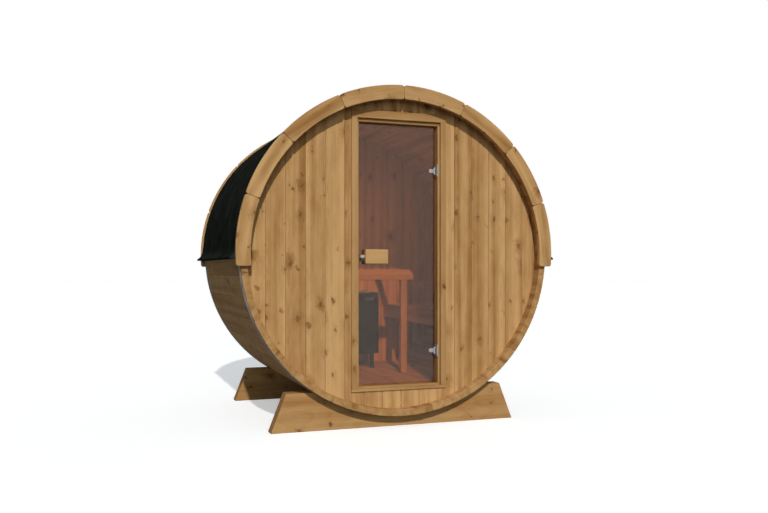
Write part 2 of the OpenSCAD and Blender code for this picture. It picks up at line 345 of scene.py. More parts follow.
def patina():
    """Clouds and fine specks for metal, paint, felt and stone."""
    inputs = {
        "Vector": "Vector",
        "Cloud Scale": 6.0,
        "Speck Scale": 400.0,
        "Color": "Color",
        "Worn Color": "Color",
        "Wear": 0.3,
        "Base Roughness": 0.4,
    }
    w, given = new_group("patina", "ShaderNodeTree", inputs, FINISH)
    cloud = w.noise(given["Vector"], given["Cloud Scale"], 4.0, 0.6)
    speck = w.noise(given["Vector"], given["Speck Scale"], 2.0, 0.7)
    worn = w.stretch(cloud + speck * 0.35, 0.52, 0.86) * given["Wear"]
    shade = w.mix(worn, given["Color"], given["Worn Color"])
    rough = w.math("ADD", given["Base Roughness"] + (cloud - 0.5) * 0.3, worn * 0.15, clamp=True)
    height = speck * 0.7 + cloud * 0.3
    w.add("NodeGroupOutput", {"Color": shade, "Roughness": rough, "Height": height})
    return w.tree


# ---------------------------------------------------------------- materials


def finish(name):
    """The finish made earlier under that name, if any."""
    return bpy.data.materials.get(name + "_finish")


def rgba(value):
    return (*value, 1.0)


def blank_material(name, **settings):
    """A material with only a Principled node, its settings and its output."""
    made = bpy.data.materials.new(name + "_finish")
    made.use_nodes = True
    made.node_tree.nodes.clear()
    w = Wiring(made.node_tree)
    shader = w.add("ShaderNodeBsdfPrincipled", settings)
    output = w.add("ShaderNodeOutputMaterial", {"Surface": Value(w, shader.outputs[0])})
    return made, w, shader, output


def dress(w, shader, make, values, relief, strength=1.0):
    """Puts a shader group's colour, roughness and height on a shader."""
    shade, rough, height = w.take(
        "ShaderNodeGroup", values, "Color", "Roughness", "Height", node_tree=group(make)
    )
    bump = {"Height": height, "Distance": relief, "Strength": strength}
    normal = w.take("ShaderNodeBump", bump)
    for key, value in (("Base Color", shade), ("Roughness", rough), ("Normal", normal)):
        w.feed(shader.inputs[key], value)


def wood(name, light=None, dark=None, knottiness=0.42, ring=0.005, contrast=0.5):
    """Wood that reads the boards' own grain coordinates."""
    if finish(name):
        return finish(name)
    made, w, shader, _ = blank_material(name, **{"Specular IOR Level": 0.04})
    values = {
        "Grain": w.take("ShaderNodeAttribute", None, "Vector", attribute_name="grain"),
        "Board": w.take("ShaderNodeAttribute", None, "Fac", attribute_name="board"),
        "End": w.take("ShaderNodeAttribute", None, "Fac", attribute_name="end"),
        "Light": rgba(light or colours().wood_light),
        "Dark": rgba(dark or colours().wood_dark),
        "Knot": rgba(colours().wood_knot),
        "Knottiness": knottiness,
        "Ring Width": ring,
        "Board Contrast": contrast,
    }
    dress(w, shader, softwood_grain, values, 0.0006, 0.6)
    return made


def aged(name, base, worn, wear, rough, cloud, speck=900.0, metal=0.0, gloss=0.4, relief=0.00005):
    """Metal, paint, felt or stone with a patina."""
    if finish(name):
        return finish(name)
    made, w, shader, _ = blank_material(name, **{"Metallic": metal, "Specular IOR Level": gloss})
    values = {
        "Vector": w.take("ShaderNodeTexCoord", None, "Object"),
        "Cloud Scale": cloud,
        "Speck Scale": speck,
        "Color": rgba(base),
        "Worn Color": rgba(worn),
        "Wear": wear,
        "Base Roughness": rough,
    }
    dress(w, shader, patina, values, relief)
    return made


def wall_wood():
    return wood("wall_wood", knottiness=0.78, contrast=0.3)


def back_wall_wood():
    return wood("back_wall_wood", knottiness=0.3, contrast=0.2)


def stave_wood():
    return wood("stave_wood", knottiness=0.4, contrast=0.4)


def trim_wood():
    return wood("trim_wood", knottiness=0.5, contrast=0.35)


def frame_wood():
    light, dark = (0.50, 0.295, 0.125), (0.33, 0.165, 0.055)
    return wood("frame_wood", light, dark, knottiness=0.22, ring=0.004, contrast=0.3)


def handle_wood():
    light, dark = (0.55, 0.325, 0.137), (0.37, 0.185, 0.064)
    return wood("handle_wood", light, dark, knottiness=0.0, ring=0.006, contrast=0.2)


def cradle_wood():
    light, dark = (0.52, 0.305, 0.125), (0.35, 0.17, 0.057)
    return wood("cradle_wood", light, dark, ring=0.006, contrast=0.3)


def inside_wood():
    light, dark = colours().inside_light, colours().inside_dark
    return wood("inside_wood", light, dark, knottiness=0.3, contrast=0.4)


def bearer_wood():
    """Wood for the bearers, which keep the frame's own meshes and so have no grain of their own."""
    made, w, shader, _ = blank_material("bearer_wood")
    values = {
        "Grain": w.take("ShaderNodeTexCoord", None, "Object"),
        "Light": rgba(colours().inside_light),
        "Dark": rgba(colours().inside_dark),
        "Knot": rgba(colours().wood_knot),
    }
    dress(w, shader, softwood_grain, values, 0.0006, 0.6)
    return made


def felt_material():
    tone = Vector(colours().felt)
    return aged("felt", tone, tone * 2.2, wear=0.7, rough=0.95, cloud=9.0, gloss=0.0, relief=0.0008)


def band_steel():
    tone = Vector(colours().steel)
    look = {"cloud": 14.0, "speck": 300.0, "metal": 0.08, "gloss": 0.1, "relief": 0.0001}
    return aged("band_steel", tone, tone * 0.62, wear=0.7, rough=0.6, **look)


def fitting_metal():
    tone = Vector(colours().fitting)
    return aged("fitting_metal", tone, tone * 0.7, wear=0.5, rough=0.5, cloud=60.0, metal=0.55)


def dark_metal():
    base, worn = (0.045, 0.035, 0.028), (0.1, 0.09, 0.08)
    return aged("dark_metal", base, worn, wear=0.4, rough=0.5, cloud=80.0)


def heater_paint():
    tone = Vector(colours().heater)
    look = {"cloud": 9.0, "speck": 1400.0, "gloss": 0.06, "relief": 0.00012}
    return aged("heater_paint", tone, tone * 2.2, wear=0.5, rough=0.55, **look)


def plate_metal():
    base, worn = (0.22, 0.22, 0.23), (0.15, 0.15, 0.15)
    return aged("blank_plate", base, worn, wear=0.3, rough=0.5, cloud=30.0, gloss=0.1)


def stone_material():
    tone = Vector(colours().stone)
    return aged("stone", tone, tone * 2.4, wear=0.9, rough=0.75, cloud=26.0, speck=260.0, relief=0.0012)


def bronze_glass():
    """Tinted glass that lets the lamps through."""
    name = "bronze_glass"
    if finish(name):
        return finish(name)
    tint = colours().glass
    settings = {
        "Base Color": rgba(tint),
        "Roughness": 0.0,
        "IOR": 1.5,
        "Transmission Weight": 1.0,
        "Specular IOR Level": 0.19,
    }
    made, w, shader, output = blank_material(name, **settings)
    face_tint = [math.sqrt(part) for part in tint]
    see_through = w.take("ShaderNodeBsdfTransparent", {"Color": rgba(face_tint)})
    shadow, diffuse = w.take("ShaderNodeLightPath", None, "Is Shadow Ray", "Is Diffuse Ray")
    soft = w.math("MAXIMUM", shadow, diffuse)
    both = w.take("ShaderNodeMixShader", {0: soft, 1: Value(w, shader.outputs[0]), 2: see_through})
    w.feed(output.inputs["Surface"], both)
    return made


# ---------------------------------------------------------------- boards and other meshes


class Pile:
    """Collects boards, each with its grain direction and its own number, into one mesh."""

    def __init__(self, seed=1):
        self.points, self.faces = [], []
        self.grain, self.board, self.ends = [], [], []
        self.chance = random.Random(seed)

    def add(self, bm, along, across, number=None):
        """Takes a bmesh as one board. along and across are unit vectors."""
        inward = along.cross(across)
        value = self.chance.random() if number is None else number
        start = len(self.points)
        bm.verts.index_update()
        bm.normal_update()
        for vert in bm.verts:
            self.points.append(vert.co.copy())
            self.grain += (vert.co.dot(along), vert.co.dot(across), vert.co.dot(inward))
            self.board.append(value)
        for face in bm.faces:
            self.faces.append([start + v.index for v in face.verts])
            self.ends.append(1.0 if abs(face.normal.dot(along)) > 0.8 else 0.0)
        bm.free()

    def mesh(self, name):
        made = bpy.data.meshes.new(name)
        made.from_pydata(self.points, [], self.faces)
        made.attributes.new("grain", "FLOAT_VECTOR", "POINT").data.foreach_set("vector", self.grain)
        made.attributes.new("board", "FLOAT", "POINT").data.foreach_set("value", self.board)
        made.attributes.new("end", "FLOAT", "FACE").data.foreach_set("value", self.ends)
        made.update()
        return made


def to_mesh(bm, name):
    made = bpy.data.meshes.new(name)
    bm.to_mesh(made)
    bm.free()
    return made


def outward(bm):
    """The same bmesh with its faces turned outwards."""
    bmesh.ops.recalc_face_normals(bm, faces=bm.faces)
    return bm


def bridge(bm, a, b):
    """Faces between two closed rings with as many points."""
    for i in range(len(a)):
        j = (i + 1) % len(a)
        bm.faces.new([a[i], a[j], b[j], b[i]])


def rims(bm, axis):
    """The edges square to the x, y or z axis, which is 0, 1 or 2."""
    return [e for e in bm.edges if abs(e.verts[0].co[axis] - e.verts[1].co[axis]) < 1e-9]


def round_edges(bm, edges, edge, segments=2):
    if edge > 0:
        bmesh.ops.bevel(
            bm,
            geom=list(edges),
            offset=edge,
            segments=segments,
            profile=0.5,
            affect="EDGES",
            clamp_overlap=True,
        )


def box_bmesh(low, high, edge=0.0, segments=2, cuts=()):
    """A box with flat cuts, as (point, outward normal) pairs, and rounded edges."""
    bm = bmesh.new()
    bmesh.ops.create_cube(bm, size=1.0)
    low, high = Vector(low), Vector(high)
    for vert in bm.verts:
        vert.co = Vector(low[i] + (vert.co[i] + 0.5) * (high[i] - low[i]) for i in range(3))
    for point, normal in cuts:
        whole = [*bm.verts, *bm.edges, *bm.faces]
        sliced = bmesh.ops.bisect_plane(bm, geom=whole, plane_co=point, plane_no=normal, clear_outer=True)
        rim = [item for item in sliced["geom_cut"] if isinstance(item, bmesh.types.BMEdge)]
        bmesh.ops.contextual_create(bm, geom=rim)
    round_edges(outward(bm), bm.edges, edge, segments)
    return bm


def plate_bmesh(outline, y0, y1, edge=0.0):
    """A flat plate: an outline of (x, z) points, counterclockwise from the front, from y0 to y1."""
    bm = bmesh.new()
    front, back = ([bm.verts.new((x, y, z)) for x, z in outline] for y in (y0, y1))
    bm.faces.new(front)
    bm.faces.new(back[::-1])
    bridge(bm, back, front)
    round_edges(bm, rims(outward(bm), 1), edge)
    return bm


def cylinder_bmesh(centre, axis, radius, length, segments, edge):
    """A round bar from centre along axis."""
    bm = bmesh.new()
    bmesh.ops.create_cone(
        bm, cap_ends=True, segments=segments, radius1=radius, radius2=radius, depth=length
    )
    round_edges(bm, rims(bm, 2), edge)
    turn = axis.to_track_quat("Z", "Y").to_matrix().to_4x4()
    place = Matrix.Translation(Vector(centre) + axis * length / 2) @ turn
    bmesh.ops.transform(bm, matrix=place, verts=bm.verts)
    return bm


def arc_points(radius, start, end, count):
    """Points on an arc round the origin, from one angle to another."""
    angles = [start + (end - start) * i / count for i in range(count + 1)]
    return [(radius * math.cos(a), radius * math.sin(a)) for a in angles]


def mirrored(outline):
    return [(-x, z) for x, z in reversed(outline)]


def rounded(points, radius, steps=4, least=0.6):
    """Rounds the corners of a closed outline that turn by more than least radians."""
    made = []
    for i, point in enumerate(points):
        here = Vector(point)
        before, after = Vector(points[i - 1]), Vector(points[(i + 1) % len(points)])
        a, b = (before - here), (after - here)
        turn = math.pi - a.angle(b)
        if turn < least:
            made.append(point)
            continue
        reach = min(radius / math.tan((math.pi - turn) / 2), a.length * 0.9, b.length * 0.9)
        start, end = here + a.normalized() * reach, here + b.normalized() * reach
        for k in range(steps + 1):
            t = k / steps
            made.append(tuple(start * (1 - t) ** 2 + here * 2 * t * (1 - t) + end * t**2))
    return made


def show(name, shape, material, slot, *nodes, body=ROOT, soft=None):
    """Makes a piece from a mesh or a pile, in place of some nodes. soft is the sharpest smooth edge."""
    mesh = shape.mesh(name) if isinstance(shape, Pile) else shape
    if material:
        mesh.materials.clear()
        mesh.materials.append(material)
    if soft:
        mesh.polygons.foreach_set("use_smooth", [True] * len(mesh.polygons))
        mesh.set_sharp_from_angle(angle=math.radians(soft))
    piece = bpy.data.objects.new(name, mesh)
    bpy.context.scene.collection.objects.link(piece)
    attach(piece, body)
    if nodes:
        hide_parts(*nodes)


def boards_piece(name, boxes, along, across, material, slot, node, seed, edge, body=ROOT):
    """A piece of one board's wood, made of boxes given as (low, high) pairs, in place of one node."""
    pile = Pile(seed)
    number = pile.chance.random()
    for low, high in boxes:
        pile.add(box_bmesh(low, high, edge), along, across, number)
    show(name, pile, material, slot, node, body=body)


# ---------------------------------------------------------------- Geometry Nodes trees


def new_maker(name, inputs):
    """A Geometry Nodes tree with these inputs, its seed mesh and its material."""
    geometry = {"Geometry": "Geometry"}
    return new_group(name, "GeometryNodeTree", {**geometry, **inputs, "Material": "Material"}, geometry)


def whole(w, geometry):
    return w.take("GeometryNodeRealizeInstances", {"Geometry": geometry})


def ending(w, geometry, material):
    """Ends a tree in plain geometry with its material."""
    dressed = w.take("GeometryNodeSetMaterial", {"Geometry": whole(w, geometry), "Material": material})
    w.add("NodeGroupOutput", {"Geometry": dressed})
    return w.tree


def store(w, geometry, name, value, domain, data_type="FLOAT"):
    inputs = {"Geometry": geometry, "Name": name, "Value": value}
    return w.take("GeometryNodeStoreNamedAttribute", inputs, data_type=data_type, domain=domain)


def named(w, name, data_type="FLOAT"):
    return w.take("GeometryNodeInputNamedAttribute", {"Name": name}, "Attribute", data_type=data_type)


def chance(w, identity, seed, low=0.0, high=1.0):
    inputs = {"Min": low, "Max": high, "ID": identity, "Seed": seed}
    return w.take("FunctionNodeRandomValue", inputs, "Value", data_type="FLOAT")


def row(w, count, start, offset):
    return w.take("GeometryNodeMeshLine", {"Count": count, "Start Location": start, "Offset": offset})


def copies(w, points, shape, number, seed, **turned):
    """Copies of a shape on points, each with a board number of its own."""
    placed = w.take("GeometryNodeInstanceOnPoints", {"Points": points, "Instance": shape, **turned})
    return store(w, placed, "board", chance(w, number, seed), "INSTANCE")


def shape_of(w, pattern):
    return w.take("GeometryNodeObjectInfo", {"Object": pattern}, "Geometry")


def moved(w, geometry, x, y, z):
    return w.take("GeometryNodeSetPosition", {"Geometry": geometry, "Position": w.joined(x, y, z)})


def stave_ring():
    """A run of staves round the barrel's axis, counted from the bottom one."""
    inputs = {"Stave": "Object", "First": 0, "Count": 46, "Step": 0.1366, "Axis Height": 1.0, "Seed": 3}
    w, given = new_maker("stave_ring", inputs)
    points = row(w, given["Count"], w.joined(0.0, 0.0, given["Axis Height"]), (0, 0, 0))
    number = w.take("GeometryNodeInputIndex") + given["First"]
    turn = w.joined(0.0, number * given["Step"] * -1.0, 0.0)
    staves = copies(w, points, shape_of(w, given["Stave"]), number, given["Seed"], Rotation=turn)
    return ending(w, staves, given["Material"])


def wall_boards():
    """Upright boards cut to the round wall, and to a box inside it."""
    inputs = {"Board": "Object", "First": 0, "Count": 6, "Seed": 5}
    lengths = ("Pitch", "Phase", "X Min", "X Max", "Z Min", "Z Max", "Radius", "Axis Height", "Y")
    w, given = new_maker("wall_boards", {**inputs, **dict.fromkeys(lengths, 0.0)})
    first = (given["First"] + 0.5) * given["Pitch"] + given["Phase"]
    points = row(w, given["Count"], w.joined(first, given["Y"], 0.0), w.joined(given["Pitch"], 0.0, 0.0))
    number = w.take("GeometryNodeInputIndex") + given["First"]
    boards = whole(w, copies(w, points, shape_of(w, given["Board"]), number, given["Seed"]))

    x, y, z = w.split(w.take("GeometryNodeInputPosition"))
    x = w.between(x, given["X Min"], given["X Max"])
    reach = w.chord(given["Radius"], x)
    top = w.math("MINIMUM", given["Z Max"], given["Axis Height"] + reach)
    foot = w.math("MAXIMUM", given["Z Min"], given["Axis Height"] - reach)
    cut = moved(w, boards, x, y, foot + z * (top - foot))
    _, across, depth = w.split(named(w, "grain", "FLOAT_VECTOR"))
    height = w.split(w.take("GeometryNodeInputPosition"))[2]
    cut = store(w, cut, "grain", w.joined(height, across, depth), "POINT", "FLOAT_VECTOR")
    cut = w.take("GeometryNodeMergeByDistance", {"Geometry": cut, "Distance": 0.00005})
    return ending(w, cut, given["Material"])


def lying_boards():
    """Boards that lie along the barrel, side by side, kept inside the staves."""
    inputs = {"Board": "Object", "Count": 5, "Seed": 7}
    lengths = ("Pitch", "X", "Radius", "Axis Height")
    w, given = new_maker("lying_boards", {**inputs, **dict.fromkeys(lengths, 0.0)})
    points = row(w, given["Count"], w.joined(given["X"], 0.0, 0.0), w.joined(given["Pitch"], 0.0, 0.0))
    number = w.take("GeometryNodeInputIndex")
    boards = whole(w, copies(w, points, shape_of(w, given["Board"]), number, given["Seed"]))
    x, y, z = w.split(w.take("GeometryNodeInputPosition"))
    reach = w.chord(given["Radius"], given["Axis Height"] - z)
    fitted = moved(w, boards, w.between(x, reach * -1.0, reach), y, z)
    return ending(w, fitted, given["Material"])


def stone_heap():
    """Broken stones heaped on the seed mesh."""
    inputs = {"Spacing": 0.05, "Stone Size": 0.03, "Seed": 2}
    w, given = new_maker("stone_heap", inputs)
    spread = {"Mesh": given["Geometry"], "Distance Min": given["Spacing"], "Density Max": 900.0}
    points = w.take(
        "GeometryNodeDistributePointsOnFaces",
        {**spread, "Seed": given["Seed"]},
        distribute_method="POISSON",
        use_legacy_normal=False,
    )
    index = w.take("GeometryNodeInputIndex")
    ball = w.take("GeometryNodeMeshIcoSphere", {"Radius": given["Stone Size"], "Subdivisions": 3})
    turns = w.joined(*[chance(w, index, seed, 0.0, math.tau) for seed in (21, 22, 23)])
    widths = w.joined(*[chance(w, index, seed, 0.72, 1.12) for seed in (31, 32, 33)])
    stones = whole(w, copies(w, points, ball, index, given["Seed"], Rotation=turns, Scale=widths))
    place = w.take("GeometryNodeInputPosition")
    apart = w.vector("ADD", place, w.scaled((3.0, 5.0, 7.0), named(w, "board")))
    lump = w.take("ShaderNodeTexVoronoi", {"Vector": apart, "Scale": 26.0}, feature="SMOOTH_F1")
    push = w.scaled(w.take("GeometryNodeInputNormal"), (lump - 0.45) * -0.03)
    shaped = w.take("GeometryNodeSetPosition", {"Geometry": stones, "Offset": push})
    return ending(w, shaped, given["Material"])


def grown(name, make, values, seed_mesh=None):
    """Runs a Geometry Nodes tree once and returns its result as a plain mesh."""
    tree = group(make)
    holder = bpy.data.objects.new(name, seed_mesh or bpy.data.meshes.new(name))
    bpy.context.scene.collection.objects.link(holder)
    modifier = holder.modifiers.new(name, "NODES")
    modifier.node_group = tree
    for item in tree.interface.items_tree:
        if item.item_type == "SOCKET" and item.in_out == "INPUT" and item.name in values:
            modifier[item.identifier] = values[item.name]
    shapes = bpy.context.evaluated_depsgraph_get()
    made = bpy.data.meshes.new_from_object(
        holder.evaluated_get(shapes), preserve_all_data_layers=True, depsgraph=shapes
    )
    holder.modifiers.clear()
    discard(holder)
    if made.materials[0] is None:
        made.materials.pop(index=0)
    made.name = name
    return made


def pattern(name, bm, along, across):
    """A board that only Geometry Nodes copy. Its copies get their own board numbers."""
    pile = Pile()
    pile.add(bm, along, across, 0.0)
    mesh = pile.mesh(name)
    mesh.attributes.remove(mesh.attributes["board"])
    return bpy.data.objects.new(name, mesh)


def discard(used):
    mesh = used.data
    bpy.data.objects.remove(used)
    bpy.data.meshes.remove(mesh)


# ---------------------------------------------------------------- barrel

# each run's first stave, counted from the bottom one, and how many it has
STAVE_RUNS = {
    "staves_bottom": (-2, 5),
    "staves_right_lower": (3, 6),
    "staves_right_middle": (9, 6),
    "staves_right_upper": (15, 6),
    "staves_top": (21, 5),
    "staves_left_upper": (26, 6),
    "staves_left_middle": (32, 6),
    "staves_left_lower": (38, 6),
}


def stave_pattern(step):
    """The bottom stave, modelled round the barrel's axis: crowned outside, hollowed inside."""
    half = step / 2
    arcs = 5
    edge = sizes().edge * 0.6
    middle_r = (BARREL_R + INNER_R) / 2
    outline = []
    for radius, way, groove in ((BARREL_R, 1, sizes().stave_groove), (INNER_R, -1, sizes().groove / 2)):
        inset = half - (groove + SEAM) / radius
        rim = radius - way * groove
        face = [(radius, -inset + 2 * inset * i / arcs) for i in range(arcs + 1)]
        run = [(rim, -half + SEAM / rim), *face, (rim, half - SEAM / rim)]
        outline += run[::way]
    bm = bmesh.new()
    rings = []
    for y, inset in (
        (-HALF_LENGTH, edge),
        (-HALF_LENGTH + edge, 0.0),
        (HALF_LENGTH - edge, 0.0),
        (HALF_LENGTH, edge),
    ):
        ring = []
        for radius, angle in outline:
            pulled = radius + (inset if radius < middle_r else -inset)
            tight = angle * (1 - inset / (half * middle_r))
            ring.append(bm.verts.new((pulled * math.sin(tight), y, -pulled * math.cos(tight))))
        rings.append(ring)
    for a, b in zip(rings, rings[1:]):
        bridge(bm, a, b)
    for ring in (rings[0], rings[-1]):
        outer, inner = ring[: arcs + 3], ring[arcs + 3 :][::-1]
        for i in range(arcs + 2):
            bm.faces.new([outer[i], outer[i + 1], inner[i + 1], inner[i]])
    return pattern("stave_pattern", outward(bm), BACK, RIGHT)


class SAUNA_OT_staves(bpy.types.Operator):
    """Lays the staves round the barrel, run by run"""

    bl_idname = "sauna.staves"
    bl_label = "Staves"

    def execute(self, context):
        step = math.tau / sizes().stave_count
        stave = stave_pattern(step)
        values = {"Stave": stave, "Step": step, "Axis Height": AXIS_Z, "Material": stave_wood()}
        for node, (first, count) in STAVE_RUNS.items():
            name = node + "_boards"
            mesh = grown(name, stave_ring, {**values, "First": first, "Count": count})
            show(name, mesh, None, "stave_wood", node)
        discard(stave)
        return {"FINISHED"}


# ---------------------------------------------------------------- end walls


def wall_board_pattern(pitch, thickness):
    """One upright board of the end walls, a metre high, grooved along both faces."""
    groove = sizes().groove
    half = pitch / 2 - SEAM
    face = half - groove
    lip = half - CLEARANCE
    columns = 10
    xs = [-face + 2 * face * i / columns for i in range(columns + 1)]
    side = [(lip, groove), (lip, 2 * groove), (half, 2 * groove + CLEARANCE)]
    side += [(x, thickness - y) for x, y in reversed(side)]
    bm = bmesh.new()
    rings = []
    for z in (0.0, 1.0):
        front = [bm.verts.new((x, 0.0, z)) for x in xs]
        back = [bm.verts.new((x, thickness, z)) for x in xs]
        right = [bm.verts.new((x, y, z)) for x, y in side]
        left = [bm.verts.new((-x, y, z)) for x, y in side]
        rings.append([*front, *right, *back[::-1], *left[::-1]])
        for i in range(columns):
            bm.faces.new([front[i], front[i + 1], back[i + 1], back[i]])
        bm.faces.new([front[-1], *right, back[-1]])
        bm.faces.new([front[0], back[0], *left[::-1]])
    bridge(bm, *rings)
    return pattern("wall_board_pattern", outward(bm), UP, RIGHT)


class SAUNA_OT_walls(bpy.types.Operator):
    """Boards up the front wall round the door, and the back wall"""

    bl_idname = "sauna.walls"
    bl_label = "End walls"

    def execute(self, context):
        pitch, phase = sizes().board_pitch, sizes().board_phase
        low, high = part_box("front_wall_left")
        board = wall_board_pattern(pitch, high.y - low.y)
        below, above = 0.0, 3.0  # past the round wall's own foot and top
        radius = INNER_R - SEAM
        widest = radius - SEAM
        parts = ("left", "right", "over_door", "under_door")
        for node in (*["front_wall_" + part for part in parts], "back_wall"):
            low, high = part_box(node)
            first = math.floor((low.x + CLEARANCE - phase) / pitch)
            last = math.ceil((high.x - CLEARANCE - phase) / pitch)
            at_back = node == "back_wall"
            values = {
                "Board": board,
                "First": first,
                "Count": last - first,
                "Pitch": pitch,
                "Phase": phase,
                "X Min": max(low.x, -widest),
                "X Max": min(high.x, widest),
                "Z Min": low.z if node == "front_wall_over_door" else below,
                "Z Max": high.z if node == "front_wall_under_door" else above,
                "Radius": radius,
                "Axis Height": AXIS_Z,
                "Y": low.y,
                "Seed": 6 if at_back else 5,
                "Material": back_wall_wood() if at_back else wall_wood(),
            }
            name = node + "_boards"
            show(name, grown(name, wall_boards, values), None, "wall_wood", node)
        discard(board)
        return {"FINISHED"}


# ---------------------------------------------------------------- trim arches


def trim_segments(y0, y1, on_left, seed):
    """The four segments of half an arch, from the crown down. The last ends on a level cut."""
    pile = Pile(seed)
    low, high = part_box("front_trim_right")
    outer, foot = high.z - AXIS_Z, low.z - AXIS_Z
    inner = outer - sizes().trim_width
    step = sizes().trim_step
    gap = sizes().trim_gap / outer / 2
    count = 4
    for i in range(count):
        end = math.pi / 2 - i * step
        if i < count - 1:
            start = end - step
            outer_start = inner_start = start + gap
        else:
            start = outer_start = math.asin(foot / outer)
            inner_start = math.asin(foot / inner)
        ring = arc_points(outer, outer_start, end - gap, 12)
        ring += arc_points(inner, end - gap, inner_start, 12)
        outline = [(x, z + AXIS_Z) for x, z in rounded(ring, sizes().trim_corner)]
        middle = (start + end) / 2
        along = Vector((-math.sin(middle), 0, math.cos(middle)))
        across = Vector((math.cos(middle), 0, math.sin(middle)))
        if on_left:
            outline = mirrored(outline)
            along.x, across.x = -along.x, -across.x
        pile.add(plate_bmesh(outline, y0, y1, sizes().edge), along, across)
    return pile


class SAUNA_OT_trims(bpy.types.Operator):
    """Front and back trim arches, each of eight segments"""

    bl_idname = "sauna.trims"
    bl_label = "Trim arches"

    def execute(self, context):
        nodes = [f"{end}_trim_{side}" for end in ("front", "back") for side in ("left", "right")]
        for seed, node in enumerate(nodes, 20):
            low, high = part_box(node)
            pile = trim_segments(low.y, high.y, high.x < -low.x, seed)
            show(node + "_boards", pile, trim_wood(), "trim_wood", node)
        return {"FINISHED"}


# ---------------------------------------------------------------- roof


def felt_mesh():
    """Felt in three lapped strips over the upper half, a little uneven."""
    low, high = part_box("roof_felt")
    outer = high.x
    bedding, headroom = 0.0028, 0.0008  # below the felt, and kept free above it
    under = BARREL_R + bedding
    swell_height, lap_slope = 0.0003, 0.0022
    start = -math.asin((AXIS_Z - low.z) / outer)
    end = math.pi - start
    columns, rows = 150, 48
    laps = (math.radians(62), math.radians(118))
    draw = random.Random(4)
    waves = [(draw.uniform(2, 9), draw.uniform(3, 12), draw.uniform(0, 6)) for _ in range(6)]

    def top_radius(a, y):
        on_top = laps[0] <= a <= laps[1]
        total = sum(math.sin(a * p + q * y + s) for p, q, s in waves)
        base = outer - headroom - (0 if on_top else sizes().felt_lap)
        return base + (total / len(waves)) * swell_height

    angles = [start + (end - start) * i / columns for i in range(columns + 1)]
    for lap in laps:
        nearest = min(range(len(angles)), key=lambda i: abs(angles[i] - lap))
        angles[nearest] = lap
        upper = 1 if lap < math.pi / 2 else -1
        angles[nearest - upper] = lap - upper * lap_slope
    y0, y1 = low.y + CLEARANCE, high.y - CLEARANCE
    ys = [y0 + (y1 - y0) * k / rows for k in range(rows + 1)]
    bm = bmesh.new()

    def corner(radius, a, y):
        return bm.verts.new((radius * math.cos(a), y, AXIS_Z + radius * math.sin(a)))

    top = [[corner(top_radius(a, y), a, y) for y in ys] for a in angles]
    bottom = [[corner(under, a, y) for y in ys] for a in angles]
    for i in range(columns):
        for k in range(rows):
            bm.faces.new([top[i][k], top[i][k + 1], top[i + 1][k + 1], top[i + 1][k]])
            bm.faces.new([bottom[i][k], bottom[i + 1][k], bottom[i + 1][k + 1], bottom[i][k + 1]])
        for k in (0, rows):
            bm.faces.new([top[i][k], top[i + 1][k], bottom[i + 1][k], bottom[i][k]])
    for i in (0, columns):
        for k in range(rows):
            bm.faces.new([top[i][k], top[i][k + 1], bottom[i][k + 1], bottom[i][k]])
    return to_mesh(outward(bm), "roof_felt_sheet")


def drip_edges():
    """The flare under the felt's lower rim, one on each side."""
    low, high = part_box("drip_edges")
    felt_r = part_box("roof_felt")[1].x
    lip, tuck, steps, flare_power = 0.010, 0.002, 12, 3.4
    top, foot = high.z, low.z + lip
    back, flare = [], []
    for i in range(steps + 1):
        z = top + (foot - top) * i / steps
        on_felt = math.sqrt(felt_r**2 - (z - AXIS_Z) ** 2)
        back.append((on_felt, z))
        flare.append((on_felt + (high.x - on_felt) * (i / steps) ** flare_power, z))
    outline = [(felt_r - tuck, low.z), (high.x, low.z), *reversed(flare[1:]), *back]
    pile = Pile(9)
    for shape in (mirrored(outline), outline):
        pile.add(plate_bmesh(shape, low.y + CLEARANCE, high.y - CLEARANCE), BACK, RIGHT)
    return pile


class SAUNA_OT_roof(bpy.types.Operator):
    """Roofing felt and its drip edges"""

    bl_idname = "sauna.roof"
    bl_label = "Roof felt"

    def execute(self, context):
        show("roof_felt_sheet", felt_mesh(), felt_material(), "felt", "roof_felt", soft=25)
        show("drip_edge_boards", drip_edges(), felt_material(), "drip_board", "drip_edges", soft=30)
        return {"FINISHED"}


# ---------------------------------------------------------------- bands


def band_mesh(y0, y1, outer):
    """A steel band round the whole barrel, with soft edges."""
    radius = BARREL_R + 0.0001
    soft = (outer - radius) * 0.4
    section = [(radius, y0 + soft), (outer - soft, y0), (outer, y0 + soft)]
    section += [(outer, y1 - soft), (outer - soft, y1), (radius, y1 - soft)]
    bm = bmesh.new()
    rings = []
    for x, z in arc_points(1.0, 0.0, math.tau, 184)[:-1]:
        rings.append([bm.verts.new((r * x, y, AXIS_Z + r * z)) for r, y in section])
    for a, b in zip(rings, rings[1:] + rings[:1]):
        bridge(bm, a, b)
    return to_mesh(outward(bm), "band")


class SAUNA_OT_bands(bpy.types.Operator):
    """Steel bands that hold the staves together"""

    bl_idname = "sauna.bands"
    bl_label = "Steel bands"

    def execute(self, context):
        for node in ("band_front", "band_rear"):
            low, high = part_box(node)
            mesh = band_mesh(low.y, high.y, high.x)
            show(node + "_strap", mesh, band_steel(), "band_steel", node, soft=50)
        return {"FINISHED"}


# ---------------------------------------------------------------- door frame


